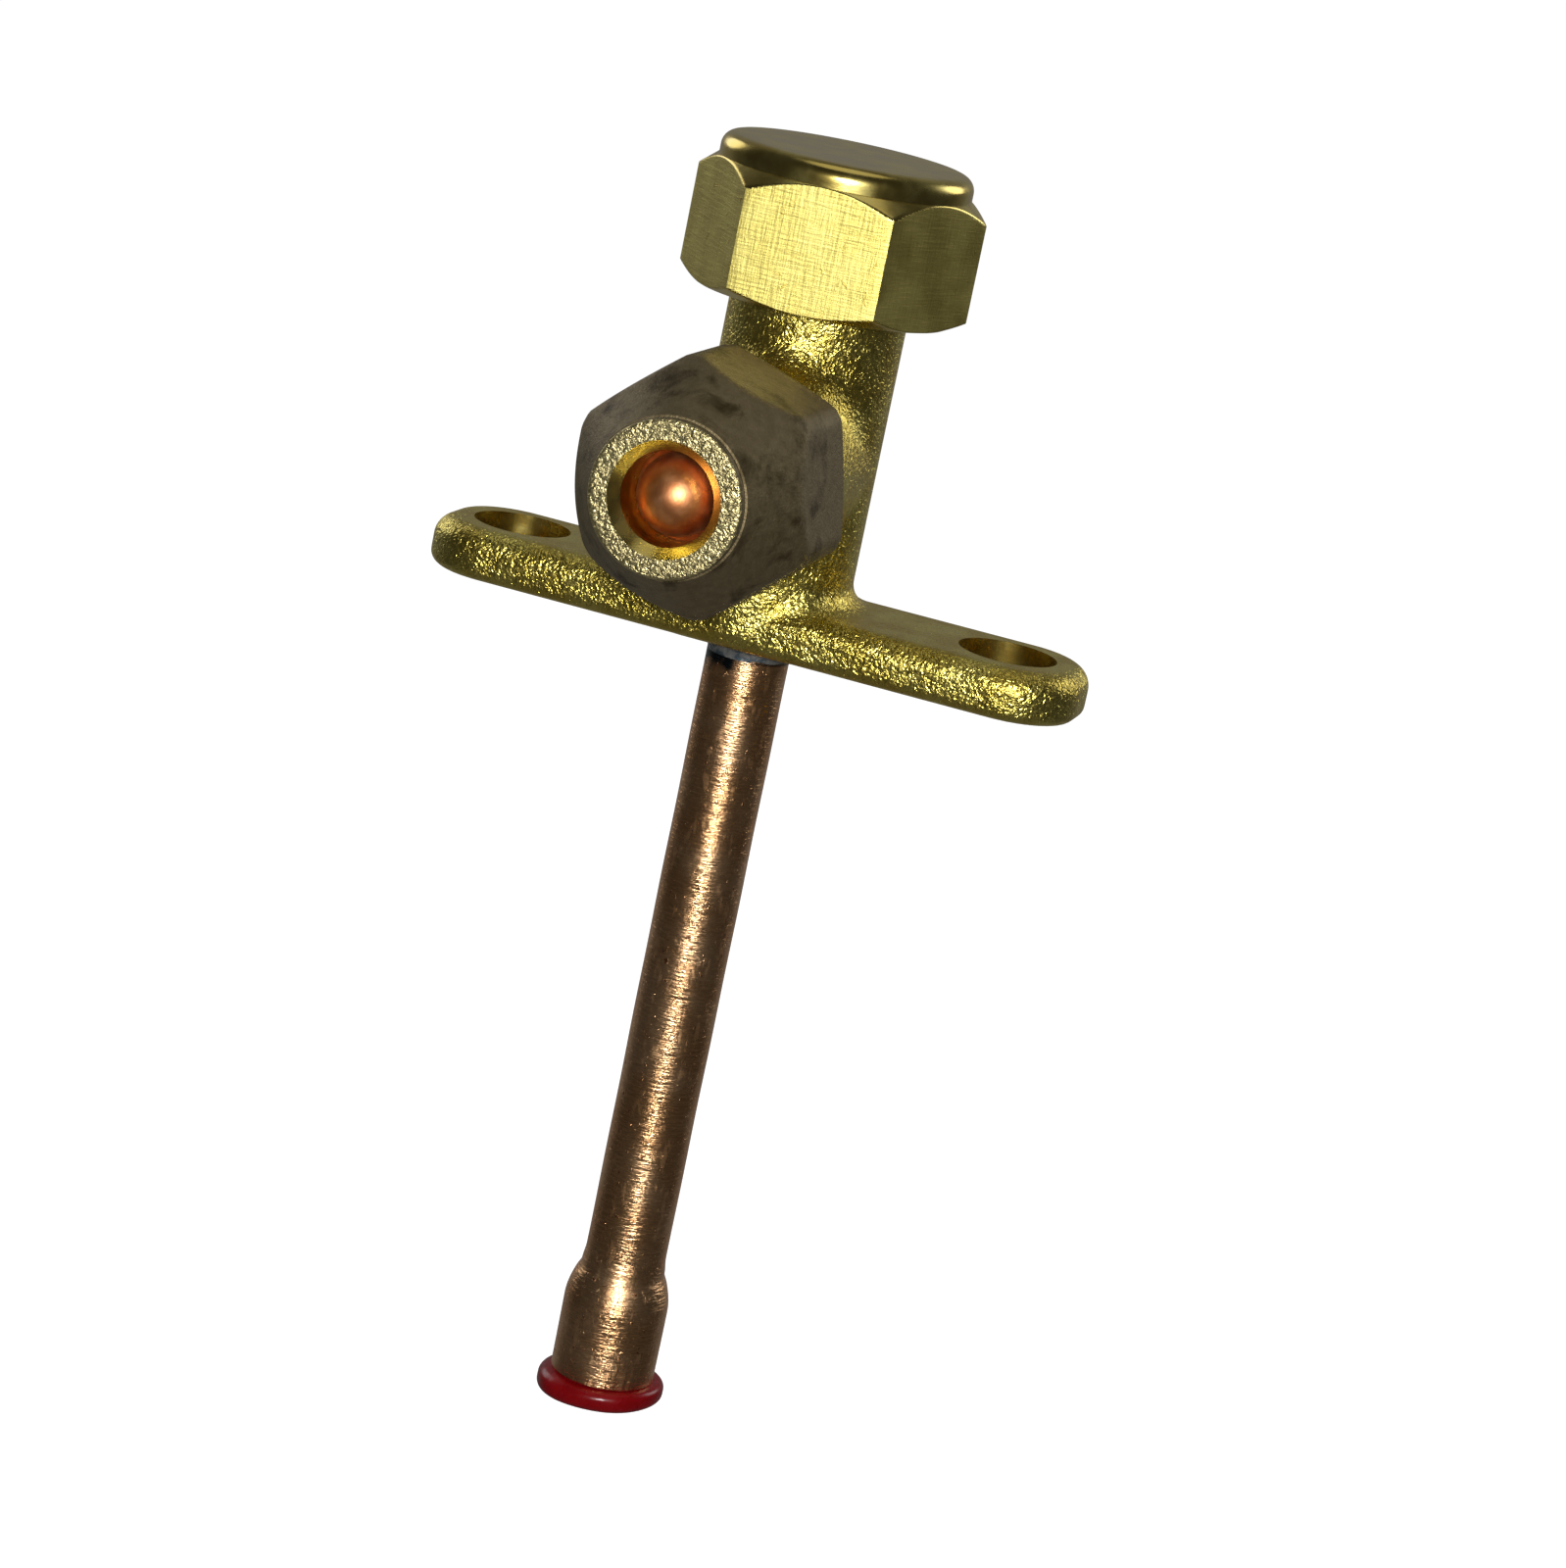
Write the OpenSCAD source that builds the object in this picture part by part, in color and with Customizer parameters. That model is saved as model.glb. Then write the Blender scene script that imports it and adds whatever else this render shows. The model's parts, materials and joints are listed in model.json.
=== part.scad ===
// Two-way service valve of a split air conditioner: a forged brass body with a mounting flange,
// a capped stem on top, a flare port closed by its nut, and a brazed copper stub below.
// The origin is the centre of the flange's underside, on the stem axis. +Z runs up the stem and
// the flare port points along -Y.

/* [Flange] */
// Overall length of the mounting flange
flange_l = 51.7; // [50:0.1:58]
// Width of the mounting flange
flange_w = 12.8; // [12.2:0.1:13.2]
// Thickness of the mounting flange
flange_t = 3.9; // [3.4:0.1:4.6]
// Radius of the flange's corners in plan
flange_corner_r = 5.4; // [3:0.1:5.8]
// Rounding of the flange's top edge
flange_top_r = 1.7; // [0.6:0.1:1.8]
// Rounding of the flange's bottom edge
flange_bottom_r = 1; // [0.4:0.1:1.2]
// Distance between the two bolt holes
hole_pitch = 39.2; // [36:0.1:40]
// Diameter of the bolt holes
hole_d = 7.5; // [6.5:0.1:7.8]

/* [Barrel] */
// Diameter of the forged barrel
barrel_d = 13.4; // [13.2:0.1:14]
// Height of the forged barrel above the flange, up to the machined neck
barrel_h = 22.7; // [21:0.1:26]
// Fillet between the barrel and the flange
base_fillet_r = 2; // [1:0.1:2.6]
// Diameter of the cap's thread on the neck
neck_thread_d = 13; // [12.6:0.1:13]
// Height of the neck above the barrel
neck_h = 7.4; // [7:0.1:9]
// Depth of the thread run-out groove on the neck
neck_relief = 0.6; // [0.2:0.1:0.8]
// Width of the thread run-out groove on the neck
neck_relief_w = 0.7; // [0.5:0.1:1]

/* [Flare port] */
// Height of the port's axis above the flange
port_rise = 10.5; // [10:0.1:11.5]
// Diameter of the forged port boss
boss_d = 13.4; // [12.8:0.1:13.8]
// Distance from the stem axis to the boss's face
boss_reach = 13; // [12.5:0.1:13.4]
// Fillet between the boss and the barrel
port_fillet_r = 3.2; // [1.5:0.1:3.4]
// Diameter of the flare port's outside thread
flare_thread_d = 11.1; // [10.8:0.1:11.4]
// Depth of the run-out grooves before and behind the flare thread
flare_relief = 0.6; // [0.4:0.05:0.7]
// Width of the run-out groove between the boss and the flare thread
flare_relief_w = 1; // [0.6:0.1:1.4]
// Diameter of the flare cone at its tip
flare_tip_d = 5.5; // [5.3:0.1:6]
// Distance from the stem axis to the flare tip
flare_reach = 24.8; // [24.3:0.1:26]
// Diameter of the passage through the port
port_bore_d = 4.8; // [4:0.1:5]

/* [Stem bore] */
// Diameter of the upper bore that the stem's head slides in
head_bore_d = 8.6; // [8.4:0.1:8.8]
// Length of the upper bore, from the neck's top
head_bore_l = 11.5; // [11.2:0.1:12]
// Length of the stem thread in the body
body_thread_l = 5.2; // [4:0.1:5.4]
// Diameter of the chamber behind the port
chamber_d = 7.5; // [7.3:0.1:8]
// Diameter of the valve seat's orifice
orifice_d = 4.4; // [4:0.1:5]
// Height of the valve seat above the flange's underside
seat_z = 8.4; // [7:0.1:9]
// Width of the retaining ring's groove
ring_groove_w = 0.9; // [0.7:0.1:1]
// Depth of the retaining ring's groove
ring_groove_depth = 0.45; // [0.3:0.05:0.5]
// Distance from the neck's top to the retaining ring's groove
ring_groove_drop = 0.9; // [0.7:0.1:1.2]

/* [Stem] */
// Diameter of the stem's thread
stem_thread_d = 7; // [6.6:0.1:7]
// Length of the stem's thread
stem_thread_l = 6.4; // [5.5:0.1:6.8]
// Diameter of the stem below its thread
spindle_d = 5.8; // [5.4:0.1:6.2]
// Diameter of the stem's flat end
stem_tip_d = 3.4; // [2.8:0.1:3.8]
// Height of the stem's head
head_h = 6; // [5.4:0.1:6.2]
// Size across flats of the hex key socket in the stem
key_af = 5; // [4:0.1:5]
// Depth of the hex key socket
key_depth = 3.2; // [2.4:0.1:3.3]
// Diameter at the bottom of the O-ring groove
oring_groove_d = 6.2; // [6:0.1:6.6]
// Width of the O-ring groove
oring_groove_w = 1.5; // [1.3:0.1:1.7]
// Distance from the bottom of the head to the O-ring groove
oring_rise = 1.2; // [0.9:0.1:1.4]

/* [Retaining ring] */
// Inside diameter of the retaining ring
ring_inner_d = 7.6; // [7.2:0.1:7.9]
// Angle left open between the ring's ends
ring_gap_angle = 50; // [20:1:90]

/* [Cap] */
// Size across flats of the cap
cap_af = 19.1; // [18.6:0.1:20]
// Overall height of the cap
cap_h = 11.2; // [10.8:0.1:11.6]
// Height of the cap's hexagon, up to the crown
cap_hex_h = 9.4; // [8.6:0.1:9.6]
// Diameter of the round crown on the cap
crown_d = 19; // [17.5:0.1:19]
// Rounding of the crown's edge
crown_edge_r = 1.1; // [0.4:0.1:1.4]
// Drop of the corners below the crown
cap_top_chamfer = 1.25; // [0.6:0.05:1.6]
// Rise of the corners above the cap's bottom face
cap_bottom_chamfer = 0.8; // [0.3:0.05:1.2]
// Thickness of the cap's crown above its gasket
cap_top_wall = 2; // [1.6:0.1:2.6]
// Height of the cap's thread above the barrel's shoulder
cap_thread_rise = 0.6; // [0.3:0.1:0.9]
// Turn of the cap's hexagon about the stem
cap_angle = 6.9; // [0:0.1:59]

/* [Gasket] */
// Thickness of the gasket in the cap
gasket_t = 1.1; // [0.8:0.1:1.4]
// Inside diameter of the gasket
gasket_inner_d = 9.2; // [8.8:0.1:10]
// Radial room between the gasket and the cap's thread
gasket_room = 0.2; // [0.1:0.05:0.4]

/* [Flare nut] */
// Size across flats of the nut
nut_af = 16.8; // [16.4:0.1:17.4]
// Overall length of the nut
nut_l = 15.5; // [15:0.1:15.8]
// Length of the nut's nose beyond its cone seat
nut_nose_l = 4.3; // [3.6:0.1:5]
// Diameter of the nut's round nose
nut_nose_d = 11.3; // [10.8:0.1:11.8]
// Length of the nut's round nose
nut_nose_step = 0.8; // [0.5:0.1:1.2]
// Diameter of the tube bore through the nut
nut_bore_d = 6.8; // [6.5:0.1:7]
// Size of the chamfer in the nut's mouth
nut_mouth = 0.75; // [0.4:0.05:0.9]
// Distance behind the nut's front face where its cone leaves the flats
nut_cone_back = 5.1; // [4.6:0.1:6]
// Slope of the nut's cone, in radius per length
nut_cone_slope = 0.61; // [0.5:0.01:0.62]
// Depth of the rounding on the nut's six corners
nut_corner_round = 0.3; // [0.1:0.05:0.5]
// Rounding of the nose's front edge
nut_nose_edge_r = 0.35; // [0.1:0.05:0.5]
// Width of the soft step where the cone meets the nose
nut_nose_blend = 0.15; // [0.05:0.05:0.3]
// Turn of the nut's hexagon about the port
nut_angle = 11.9; // [0:0.1:59]

/* [Copper bonnet] */
// Wall of the copper bonnet between the nut and the flare
bonnet_wall = 0.5; // [0.4:0.05:0.6]
// Diameter of the bonnet's dome
bonnet_dome_d = 5.9; // [5.5:0.1:6]
// Distance from the nut's front face to the centre of the dome
bonnet_dome_back = 3.3; // [3.1:0.1:3.6]

/* [Tube] */
// Outside diameter of the copper tube
tube_d = 6.35; // [6.2:0.05:6.4]
// Wall of the copper tube
tube_wall = 0.85; // [0.7:0.05:1]
// Length of the tube below the flange
tube_drop = 60.4; // [40:0.1:90]
// Depth of the tube's socket in the body
socket_depth = 4.6; // [3:0.1:5.4]
// Outside diameter of the swaged bell at the tube's end
bell_d = 8.2; // [8:0.1:8.6]
// Length of the bell's straight part
bell_l = 5.8; // [4:0.1:12]
// Length of the taper from the tube to the bell
bell_taper_l = 4.5; // [2:0.1:6]
// Height of the brazing fillet below the flange
braze_drop = 1.3; // [0.6:0.1:1.8]
// Width of the brazing chamfer round the socket
braze_w = 1.15; // [0.6:0.05:1.4]

/* [Dust plug] */
// Diameter of the plug's rim
plug_rim_d = 10.1; // [9.4:0.1:12]
// Thickness of the plug's rim
plug_rim_t = 1.6; // [1:0.1:2.4]
// Length of the plug inside the bell
plug_l = 5; // [3:0.1:5.4]
// Wall of the hollow plug
plug_wall = 0.9; // [0.6:0.1:1.4]
// Chamfer on the plug's inner end
plug_chamfer = 0.6; // [0.2:0.1:0.8]

/* [Fits] */
// Radial running clearance of threads, stem and rings
running_gap = 0.05; // [0.02:0.01:0.09]
// Gap between faces that seat on each other
seat_gap = 0.05; // [0.02:0.01:0.1]
// Gap between the stem's head and its shoulder when the valve is shut
shoulder_gap = 0.3; // [0.1:0.05:0.5]
// Radial gap between the cap's mouth and the barrel
mouth_gap = 0.4; // [0.2:0.05:0.6]
// Gap between the solder and the copper tube
solder_gap = 0.01; // [0.01:0.01:0.03]

/* [Edges] */
// Chamfer on the ends of the neck, the boss and the nut's back
end_chamfer = 0.5; // [0.3:0.05:0.6]
// Chamfer where bores and threads start
lead_in = 0.3; // [0.1:0.05:0.4]
// Chamfer that takes the sharpness off turned corners
broken_edge = 0.2; // [0.05:0.05:0.3]

/* [Hidden] */
$fn = 72;
arc_steps = 8;
cut = 1;
blend_inset = 0.1;
blend_tangents = [20, 45, 70];

brass_forged = "#8f8434";
brass_turned = "#c9b95a";
brass_dull = "#6d6648";
steel = "#9a9ca0";
seal_black = "#1c1c1e";
seal_white = "#e6e4dc";
copper = "#b5673d";
braze_grey = "#6f7c80";
plug_red = "#b31220";

port_z = flange_t + port_rise;
shoulder_z = flange_t + barrel_h;
neck_z = shoulder_z + neck_h;
neck_thread_r = neck_thread_d / 2;

head_bore_z = neck_z - head_bore_l;
body_thread_z = head_bore_z - body_thread_l;
chamber_r = chamber_d / 2;
orifice_r = orifice_d / 2;
groove_top_z = neck_z - ring_groove_drop;

stem_thread_r = stem_thread_d / 2;
head_r = head_bore_d / 2 - running_gap;
head_z = head_bore_z + shoulder_gap;
oring_z = head_z + oring_rise;
oring_cord_r = (head_bore_d - oring_groove_d) / 4 - running_gap / 2;

gasket_z = neck_z + seat_gap;
cap_roof_z = gasket_z + gasket_t + seat_gap;
cap_top_z = cap_roof_z + cap_top_wall;
cap_z = cap_top_z - cap_h;
cap_corner_r = across_flats_to_corner(cap_af);

cone_in = flare_reach + flare_tip_d / 2;
bonnet_in = cone_in + sqrt(2) * seat_gap;
bonnet_out = bonnet_in + sqrt(2) * bonnet_wall;
nut_seat = bonnet_out + sqrt(2) * seat_gap;
nut_front = nut_seat - nut_bore_d / 2 + nut_nose_l;
nut_back = nut_front - nut_l;
flare_thread_r = flare_thread_d / 2;
flare_root_r = flare_thread_r - flare_relief;
nut_thread_r = flare_thread_r + running_gap;

tube_r = tube_d / 2;
socket_r = tube_r + seat_gap;
tube_end_z = -tube_drop;
bell_in_r = bell_d / 2 - tube_wall;

// Distance from a hexagon's middle to its corners
function across_flats_to_corner(af) = af / sqrt(3);

// Points along an arc, from angle a to angle b
function arc(c, r, a, b) = [for (i = [0:arc_steps]) c + r * [cos(a + (b - a) * i / arc_steps),
    sin(a + (b - a) * i / arc_steps)]];

// Turns a profile of radius and distance from the stem axis about the port's axis
module about_port() {
    translate([0, 0, port_z]) rotate([90, 0, 0]) rotate_extrude() children();
}

// Half of the flange's rounded section, from its middle out to a reach
module flange_section(reach) {
    polygon(concat([[0, 0]],
        arc([reach - flange_bottom_r, flange_bottom_r], flange_bottom_r, -90, 0),
        arc([reach - flange_top_r, flange_t - flange_top_r], flange_top_r, 0, 90),
        [[0, flange_t]]));
}

// The flange: a middle slab, two end slabs and four turned corners
module flange() {
    mid_x = flange_l / 2 - flange_corner_r;
    mid_y = flange_w / 2 - flange_corner_r;
    for (side = [0, 1]) {
        rotate([90, 0, 90 + 180 * side]) translate([0, 0, -mid_x])
            linear_extrude(2 * mid_x) flange_section(flange_w / 2);
        rotate([0, 0, 180 * side]) translate([mid_x, mid_y, 0]) rotate([90, 0, 0])
            linear_extrude(2 * mid_y) flange_section(flange_corner_r);
        for (turn = [0, 90]) {
            rotate([0, 0, 180 * side])
                translate([mid_x, turn == 0 ? mid_y : -mid_y, 0])
                rotate([0, 0, -turn]) rotate_extrude(angle = 90) flange_section(flange_corner_r);
        }
    }
}

// The barrel with the machined neck for the cap
module barrel() {
    r = barrel_d / 2;
    root_r = neck_thread_r - neck_relief;
    relief_z = shoulder_z + neck_relief_w;
    rotate_extrude() polygon([[0, flange_bottom_r], [r - broken_edge, flange_bottom_r],
        [r, flange_t / 2], [r, shoulder_z - broken_edge], [r - broken_edge, shoulder_z],
        [root_r, shoulder_z], [root_r, relief_z], [neck_thread_r, relief_z + neck_relief],
        [neck_thread_r, neck_z - end_chamfer], [neck_thread_r - end_chamfer, neck_z], [0, neck_z]]);
}

// The fillet at the barrel's foot, no wider than the flange
module base_fillet() {
    r = barrel_d / 2;
    intersection() {
        rotate_extrude() polygon(concat([[0, flange_t - cut], [r + base_fillet_r, flange_t - cut]],
            arc([r + base_fillet_r, flange_t + base_fillet_r], base_fillet_r, -90, -180),
            [[0, flange_t + base_fillet_r]]));
        translate([-flange_l / 2, -flange_w / 2 + flange_top_r / 4, 0])
            cube([flange_l, flange_w - flange_top_r / 2, flange_t + base_fillet_r]);
    }
}

// The port's boss, thread and flare cone
module port() {
    r = boss_d / 2;
    relief_end = boss_reach + flare_relief_w;
    cone_start = cone_in - flare_root_r;
    about_port() polygon([[0, 0], [r, 0], [r, boss_reach - end_chamfer],
        [r - end_chamfer, boss_reach], [flare_root_r, boss_reach], [flare_root_r, relief_end],
        [flare_thread_r, relief_end + flare_relief], [flare_thread_r, cone_start - flare_relief],
        [flare_root_r, cone_start], [flare_tip_d / 2, flare_reach], [0, flare_reach]]);
}

// The rounded inner corner between boss and barrel, as wedges tangent to its arc
module port_blend() {
    r = min(barrel_d, boss_d) / 2 - blend_inset;
    for (tangent = blend_tangents) {
        up = port_fillet_r * (1 - tan(tangent / 2));
        out = port_fillet_r * (1 - tan(45 - tangent / 2));
        hull() {
            translate([0, 0, port_z - boss_d / 2 - up]) cylinder(h = boss_d + 2 * up, r = r, $fn = 48);
            translate([0, 0, port_z]) rotate([90, 0, 0])
                cylinder(h = barrel_d / 2 + out, r = r, $fn = 48);
        }
    }
}

// Everything that is bored along the stem axis, from the tube's socket to the neck's mouth
module stem_bore() {
    socket_mouth = socket_r + braze_w;
    thread_r = stem_thread_r + running_gap;
    head_bore_r = head_bore_d / 2;
    groove_r = head_bore_r + ring_groove_depth;
    seat_top_z = seat_z + chamber_r - orifice_r;
    rotate_extrude() polygon([[0, -cut], [socket_mouth + cut, -cut], [socket_r, braze_w],
        [socket_r, socket_depth], [orifice_r, socket_depth], [orifice_r, seat_z],
        [chamber_r, seat_top_z], [chamber_r, body_thread_z - lead_in], [thread_r, body_thread_z],
        [thread_r, head_bore_z], [head_bore_r, head_bore_z],
        [head_bore_r, groove_top_z - ring_groove_w], [groove_r, groove_top_z - ring_groove_w],
        [groove_r, groove_top_z], [head_bore_r, groove_top_z], [head_bore_r, neck_z - lead_in],
        [head_bore_r + lead_in + cut, neck_z + cut], [0, neck_z + cut]]);
}

module valve_body() {
    color(brass_forged) difference() {
        union() {
            flange();
            barrel();
            base_fillet();
            port();
            port_blend();
        }
        stem_bore();
        translate([0, 0, port_z]) rotate([90, 0, 0])
            cylinder(h = flare_reach + cut, d = port_bore_d);
        for (side = [-1, 1]) {
            translate([side * hole_pitch / 2, 0, -cut]) cylinder(h = flange_t + 2 * cut, d = hole_d);
        }
    }
}

// The stem, shut down on its seat
module stem() {
    lift = sqrt(2) * seat_gap;
    tip_r = stem_tip_d / 2;
    spindle_r = spindle_d / 2;
    tip_z = seat_z + lift - orifice_r + tip_r;
    spindle_z = tip_z + spindle_r - tip_r;
    groove_r = oring_groove_d / 2;
    thread_top_z = head_bore_z - shoulder_gap;
    thread_z = thread_top_z - stem_thread_l;
    neck_r = stem_thread_r - lead_in;
    top_z = head_z + head_h;
    key_z = top_z - key_depth;
    drill_r = key_af / 2 - broken_edge;
    drill_z = key_z - drill_r / 2;
    color(brass_turned) difference() {
        rotate_extrude() polygon([[0, tip_z], [tip_r, tip_z], [spindle_r, spindle_z],
            [spindle_r, thread_z], [stem_thread_r, thread_z + stem_thread_r - spindle_r],
            [stem_thread_r, thread_top_z - lead_in], [neck_r, thread_top_z], [neck_r, head_z],
            [head_r - broken_edge, head_z], [head_r, head_z + broken_edge], [head_r, oring_z],
            [groove_r, oring_z], [groove_r, oring_z + oring_groove_w],
            [head_r, oring_z + oring_groove_w], [head_r, top_z - lead_in],
            [head_r - lead_in, top_z], [0, top_z]]);
        hexagon(key_af, key_z, key_depth + cut);
        rotate_extrude() polygon([[0, drill_z], [drill_r, key_z], [drill_r, key_z + cut],
            [0, key_z + cut]]);
    }
}

module stem_o_ring() {
    color(seal_black) translate([0, 0, oring_z + oring_groove_w / 2]) rotate_extrude()
        translate([(head_bore_d + oring_groove_d) / 4, 0]) circle(r = oring_cord_r, $fn = 32);
}

// The split ring that keeps the stem from coming out
module retaining_ring() {
    outer_r = head_bore_d / 2 + ring_groove_depth - running_gap;
    t = ring_groove_w - 2 * seat_gap;
    color(steel) translate([0, 0, groove_top_z - ring_groove_w + seat_gap])
        rotate([0, 0, 90 + ring_gap_angle / 2]) rotate_extrude(angle = 360 - ring_gap_angle)
        translate([ring_inner_d / 2, 0]) square([outer_r - ring_inner_d / 2, t]);
}

// A hexagon of a size across flats, along +Z from a height
module hexagon(af, z, h) {
    translate([0, 0, z]) cylinder(h = h, r = across_flats_to_corner(af), $fn = 6);
}

module stem_cap() {
    hex_top_z = cap_z + cap_hex_h;
    flat_r = cap_af / 2;
    corner = cap_corner_r - flat_r;
    clear = 1 + cut / corner;
    crown_r = crown_d / 2;
    thread_r = neck_thread_r + running_gap;
    mouth_r = barrel_d / 2 + mouth_gap;
    mouth_z = shoulder_z + cap_thread_rise;
    color(brass_turned) difference() {
        union() {
            intersection() {
                rotate([0, 0, cap_angle]) hexagon(cap_af, cap_z, cap_hex_h);
                rotate_extrude() polygon([[0, cap_z], [flat_r, cap_z],
                    [cap_corner_r + cut, cap_z + cap_bottom_chamfer * clear],
                    [cap_corner_r + cut, hex_top_z - cap_top_chamfer * clear],
                    [flat_r, hex_top_z], [0, hex_top_z]]);
            }
            rotate_extrude() polygon(concat([[0, hex_top_z - cut], [crown_r, hex_top_z - cut]],
                arc([crown_r - crown_edge_r, cap_top_z - crown_edge_r], crown_edge_r, 0, 90),
                [[0, cap_top_z]]));
        }
        rotate_extrude() polygon([[0, cap_z - cut], [mouth_r + lead_in + cut, cap_z - cut],
            [mouth_r, cap_z + lead_in], [mouth_r, mouth_z], [thread_r + broken_edge, mouth_z],
            [thread_r, mouth_z + broken_edge], [thread_r, cap_roof_z], [0, cap_roof_z]]);
    }
}

module cap_gasket() {
    outer_r = neck_thread_r + running_gap - gasket_room;
    color(seal_white) translate([0, 0, gasket_z]) difference() {
        cylinder(h = gasket_t, r = outer_r);
        translate([0, 0, -cut]) cylinder(h = gasket_t + 2 * cut, d = gasket_inner_d);
    }
}

module flare_nut() {
    flat_r = nut_af / 2;
    corner_r = across_flats_to_corner(nut_af) - nut_corner_round;
    nose_r = nut_nose_d / 2;
    blend_r = nose_r + nut_nose_blend;
    bore_r = nut_bore_d / 2;
    cone_z = nut_front - nut_cone_back;
    nose_z = nut_front - nut_nose_step;
    color(brass_dull) difference() {
        intersection() {
            translate([0, 0, port_z]) rotate([90, 0, 0]) rotate([0, 0, nut_angle + 30])
                hexagon(nut_af, nut_back, nut_l);
            about_port() polygon(concat([[0, nut_back], [flat_r + broken_edge, nut_back],
                [corner_r, nut_back + end_chamfer],
                [corner_r, cone_z - (corner_r - flat_r) / nut_cone_slope],
                [blend_r, cone_z + (flat_r - blend_r) / nut_cone_slope], [nose_r, nose_z]],
                arc([nose_r - nut_nose_edge_r, nut_front - nut_nose_edge_r], nut_nose_edge_r, 0, 90),
                [[0, nut_front]]));
        }
        about_port() polygon([[0, nut_back - cut], [nut_thread_r + lead_in + cut, nut_back - cut],
            [nut_thread_r, nut_back + lead_in], [nut_thread_r, nut_seat - nut_thread_r],
            [bore_r, nut_seat - bore_r], [bore_r, nut_front - nut_mouth],
            [bore_r + nut_mouth + cut, nut_front + cut], [0, nut_front + cut]]);
    }
}

// The soft copper cup that the nut clamps on the flare to seal the port
module copper_bonnet() {
    dome_r = bonnet_dome_d / 2;
    inner_r = dome_r - bonnet_wall;
    dome_z = nut_front - bonnet_dome_back;
    rim_r = flare_root_r;
    lip = bonnet_wall / sqrt(2);
    color(copper) about_port() polygon(concat(
        arc([0, dome_z], dome_r, 90, 0), [[dome_r, bonnet_out - dome_r], [rim_r, bonnet_out - rim_r],
        [rim_r - lip, bonnet_in - rim_r + lip], [inner_r, bonnet_in - inner_r]],
        arc([0, dome_z], inner_r, 0, 90)));
}

// One wall of the tube, from its top in the socket down the taper to the bell's end
function tube_wall_points(r, bell_r) = concat([[r, socket_depth - seat_gap]],
    [for (i = [0:arc_steps]) let (t = i / arc_steps)
        [r + (bell_r - r) * (1 - cos(180 * t)) / 2, tube_end_z + bell_l + bell_taper_l * (1 - t)]],
    [[bell_r, tube_end_z]]);

module copper_tube() {
    outer = tube_wall_points(tube_r, bell_d / 2);
    inner = tube_wall_points(tube_r - tube_wall, bell_in_r);
    last = len(inner) - 1;
    color(copper) rotate_extrude() polygon(concat(outer, [for (i = [0:last]) inner[last - i]]));
}

// Solder in the chamfer round the tube, drawn down in a hollow fillet
module braze_ring() {
    r = tube_r + solder_gap;
    mouth_r = socket_r + braze_w - seat_gap;
    w = mouth_r - r;
    color(braze_grey) rotate_extrude() polygon(concat([[r, braze_w - 2 * seat_gap]],
        [for (i = [0:arc_steps]) [mouth_r - w * sin(90 * i / arc_steps),
            -braze_drop * (1 - cos(90 * i / arc_steps))]]));
}

module dust_plug() {
    rim_r = plug_rim_d / 2;
    rim_z = tube_end_z - seat_gap;
    body_r = bell_in_r - running_gap;
    edge_r = plug_rim_t / 3;
    base_z = rim_z - plug_rim_t;
    top_z = rim_z + plug_l;
    color(plug_red) rotate_extrude() polygon(concat([[body_r - plug_wall, base_z]],
        arc([rim_r - edge_r, base_z + edge_r], edge_r, -90, 0),
        arc([rim_r - edge_r, rim_z - edge_r], edge_r, 0, 90),
        [[body_r, rim_z], [body_r, top_z - plug_chamfer], [body_r - plug_chamfer, top_z],
        [0, top_z], [0, top_z - plug_wall], [body_r - plug_wall, top_z - plug_wall]]));
}

valve_body();
stem();
stem_o_ring();
retaining_ring();
stem_cap();
cap_gasket();
flare_nut();
copper_bonnet();
copper_tube();
braze_ring();
dust_plug();
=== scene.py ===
"""Looks of a two-way air conditioner service valve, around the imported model.

Sizes are in millimetres until a mesh is made, and metres in Blender.
"""
import json
import math

import bpy
import numpy as np
from mathutils import Euler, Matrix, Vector


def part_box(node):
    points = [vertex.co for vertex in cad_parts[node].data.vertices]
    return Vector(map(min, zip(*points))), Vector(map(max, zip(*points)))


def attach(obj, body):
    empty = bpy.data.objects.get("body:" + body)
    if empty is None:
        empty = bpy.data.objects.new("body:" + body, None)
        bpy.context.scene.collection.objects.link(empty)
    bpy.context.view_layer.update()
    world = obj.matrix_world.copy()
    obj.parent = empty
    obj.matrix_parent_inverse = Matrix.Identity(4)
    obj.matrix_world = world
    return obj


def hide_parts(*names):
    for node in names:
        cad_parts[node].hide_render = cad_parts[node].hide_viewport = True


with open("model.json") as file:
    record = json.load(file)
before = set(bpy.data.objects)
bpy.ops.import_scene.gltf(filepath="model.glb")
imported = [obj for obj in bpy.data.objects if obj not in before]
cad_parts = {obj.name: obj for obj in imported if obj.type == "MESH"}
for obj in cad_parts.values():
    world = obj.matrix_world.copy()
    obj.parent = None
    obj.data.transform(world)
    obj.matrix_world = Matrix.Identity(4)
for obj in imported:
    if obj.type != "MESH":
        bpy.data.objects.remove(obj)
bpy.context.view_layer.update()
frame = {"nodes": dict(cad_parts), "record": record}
scene = bpy.context.scene
MM = 0.001


def low_high(node):
    """Lowest and highest corners of a CAD node, in millimetres."""
    low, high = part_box(node)
    return np.array(low) / MM, np.array(high) / MM


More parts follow.
